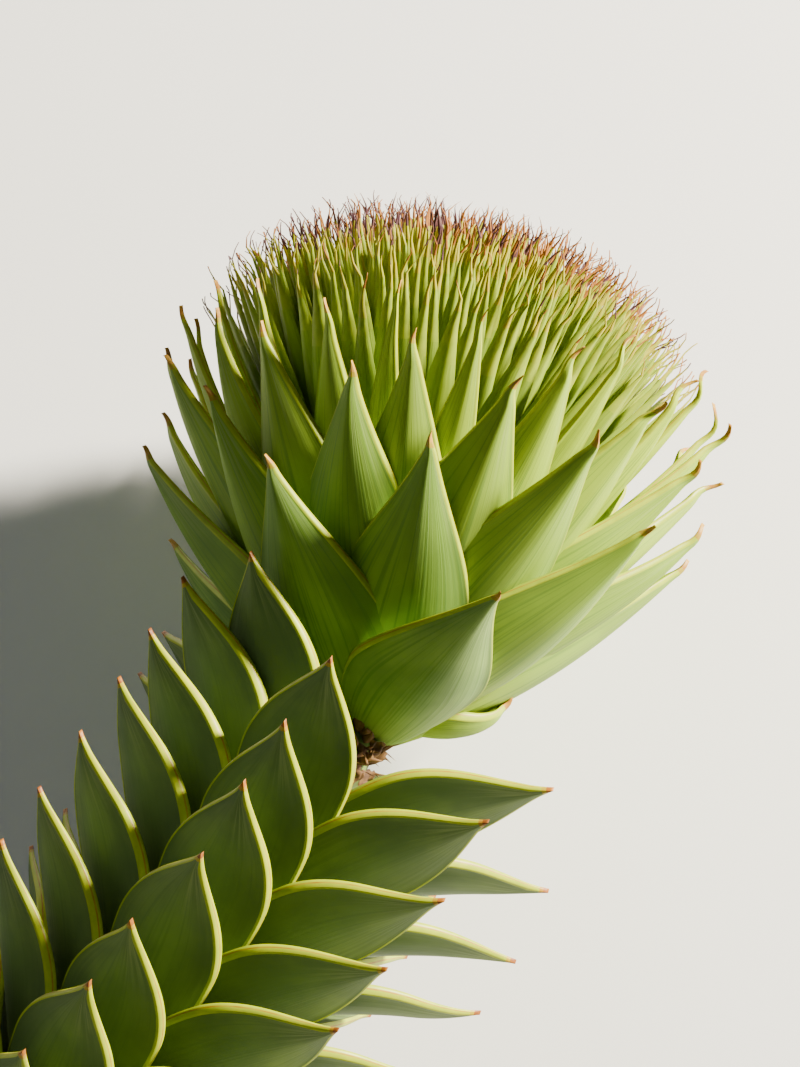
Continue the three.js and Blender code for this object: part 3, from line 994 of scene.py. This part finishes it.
def curled_bract():
    """The small half-dried one that curls up under the lowest bracts, to the viewer's right."""
    root = np.array([6.8, 2.0])
    tip = np.array([26.5, 20.5])
    return {
        **bract_blade(0), "frame": shoot_frame(0.0), "turn": 88.0, "root": root, "tip": tip,
        "bend": np.array([26.0, 6.0]), "half_width": 5.0, "cup": 3.0, "hook": 2.0, "twist": 30.0,
        "thread": 0.8, "curl": 1.6, "phase": 0.5, "tone": 0.5,
        "kinds": np.where(bract_block.face_along > CURLED_DRY_FROM, SPINE, bract_block.kinds),
    }


bract_block = Block(rows=40, columns=16, crowding=1.35)
bract_block.colour_margins(edge_from=0.3, orange_from=0.955, spine_from=0.974)
bract_finishes = [bract_green, bract_rim, bract_edge, bract_tip]
for name, first, last in (("foot", 0, FOOT_BRACTS), ("side", FOOT_BRACTS, BRACTS_BELOW_CROWN)):
    blades = [bract_blade(index) for index in range(first, last)]
    if name == "foot":
        blades[0]["tone"] = OLD_TONE
        blades.append(curled_bract())
    bracts = grow(f"{name}_bract_blades", bract_block, blades, bract_finishes)
    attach(bracts, "root")
    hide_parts(f"cone_{name}_bracts")

# %% [markdown]
# The crown's awns go on in the same spiral, some twelve hundred of them, over the top of the dome.
# Seen close, each is a slim keeled blade that dries from the tip, the more so the nearer it stands
# to the crown's middle. From root to tip it is green, lime and gold, and ends in a thread that
# curls. Awns on the sunny side are given a fresher green, which is painted sunlight. The threads
# are rust and plum-brown, rusty on the sunny side and mostly plum-brown on the other: the colours
# are real, and their split by side is painted light and shade.

# %% Awns
CROWN_AWNS = 1200
CROWDING = 0.72
AWN_OUTLINE = {"widest": 0.5, "root_width": 0.7, "fullness": 1.15, "pinch": 0.35}
AWN_RIMS = (0.2, 0.2)
AGE_FROM, AGE_TO = 0.22, 0.62
AWN_ZONES = 4

awn_block = Block(rows=13, columns=2, crowding=1.5)


def awn_blade(index):
    """One awn. Its share runs from 0 at the crown's foot to 1 at its middle."""
    share = ((index + 0.5) / CROWN_AWNS) ** CROWDING
    angle = math.degrees(math.acos(math.cos(math.radians(CROWN_ANGLE)) * math.sqrt(1 - share)))
    on_core = ROOT_CROWN + (90 - ROOT_CROWN) * (angle - CROWN_ANGLE) / (90 - CROWN_ANGLE)
    root = core_point(on_core)
    tip = dome_point(angle)
    tip = root + (tip - root) * draw.uniform(0.93, 1.05)
    turn = BRACT_FIRST_TURN + BRACT_TURN * (index + BRACTS_BELOW_CROWN)
    to_right = math.sin(math.radians(turn)) * math.sqrt(1 - share)
    age = climb(share, AGE_FROM, AGE_TO)
    dry_from = 0.97 - 0.10 * age + draw.uniform(-0.025, 0.02)
    zones = [dry_from - draw.uniform(0.22, 0.3), dry_from - draw.uniform(0.05, 0.12), dry_from]
    # Dark plum threads grow likelier away from the sun: plum-brown is real, its split by side is
    # painted shade.
    plum_and_shade = draw.random() < 0.45 - 0.45 * to_right
    return {
        "frame": cone_frame(0.0), "turn": turn + draw.uniform(-1.5, 1.5), "root": root,
        "bend": arched(root, tip, draw.uniform(2, 8)), "tip": tip, "outline": AWN_OUTLINE,
        "half_width": 1.4 + 2.5 * math.exp(-6 * share), "thickness": 0.6, "cup": 0.7, "fold": 1.0,
        "rims": AWN_RIMS, "spine": 0.32, "hook": draw.uniform(-2.0, 2.0),
        "twist": draw.uniform(-18, 18), "sway": draw.uniform(-1.8, 1.8), "thread": 0.84,
        "curl": draw.uniform(0.4, 1.9), "phase": draw.uniform(0, 6.3),
        "kinds": np.searchsorted(zones, awn_block.face_along) + AWN_ZONES * int(plum_and_shade),
        # The tone is fresher towards the sun, which is painted sunlight.
        "tone": float(np.clip(0.3 + 0.25 * to_right + draw.uniform(-0.25, 0.35), 0, 1)),
    }


shared_zones = [awn_green, awn_lime, awn_gold]
awn_finishes = [*shared_zones, awn_rust, *shared_zones, awn_plum_and_shade]
awn_blades = [awn_blade(index) for index in range(CROWN_AWNS)]
awns = grow("crown_awns", awn_block, awn_blades, awn_finishes)
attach(awns, "root")
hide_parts("cone_crown")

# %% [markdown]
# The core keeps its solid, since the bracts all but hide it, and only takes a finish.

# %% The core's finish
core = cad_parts["cone_core"]
core.data.materials.clear()
core.data.materials.append(core_pale)
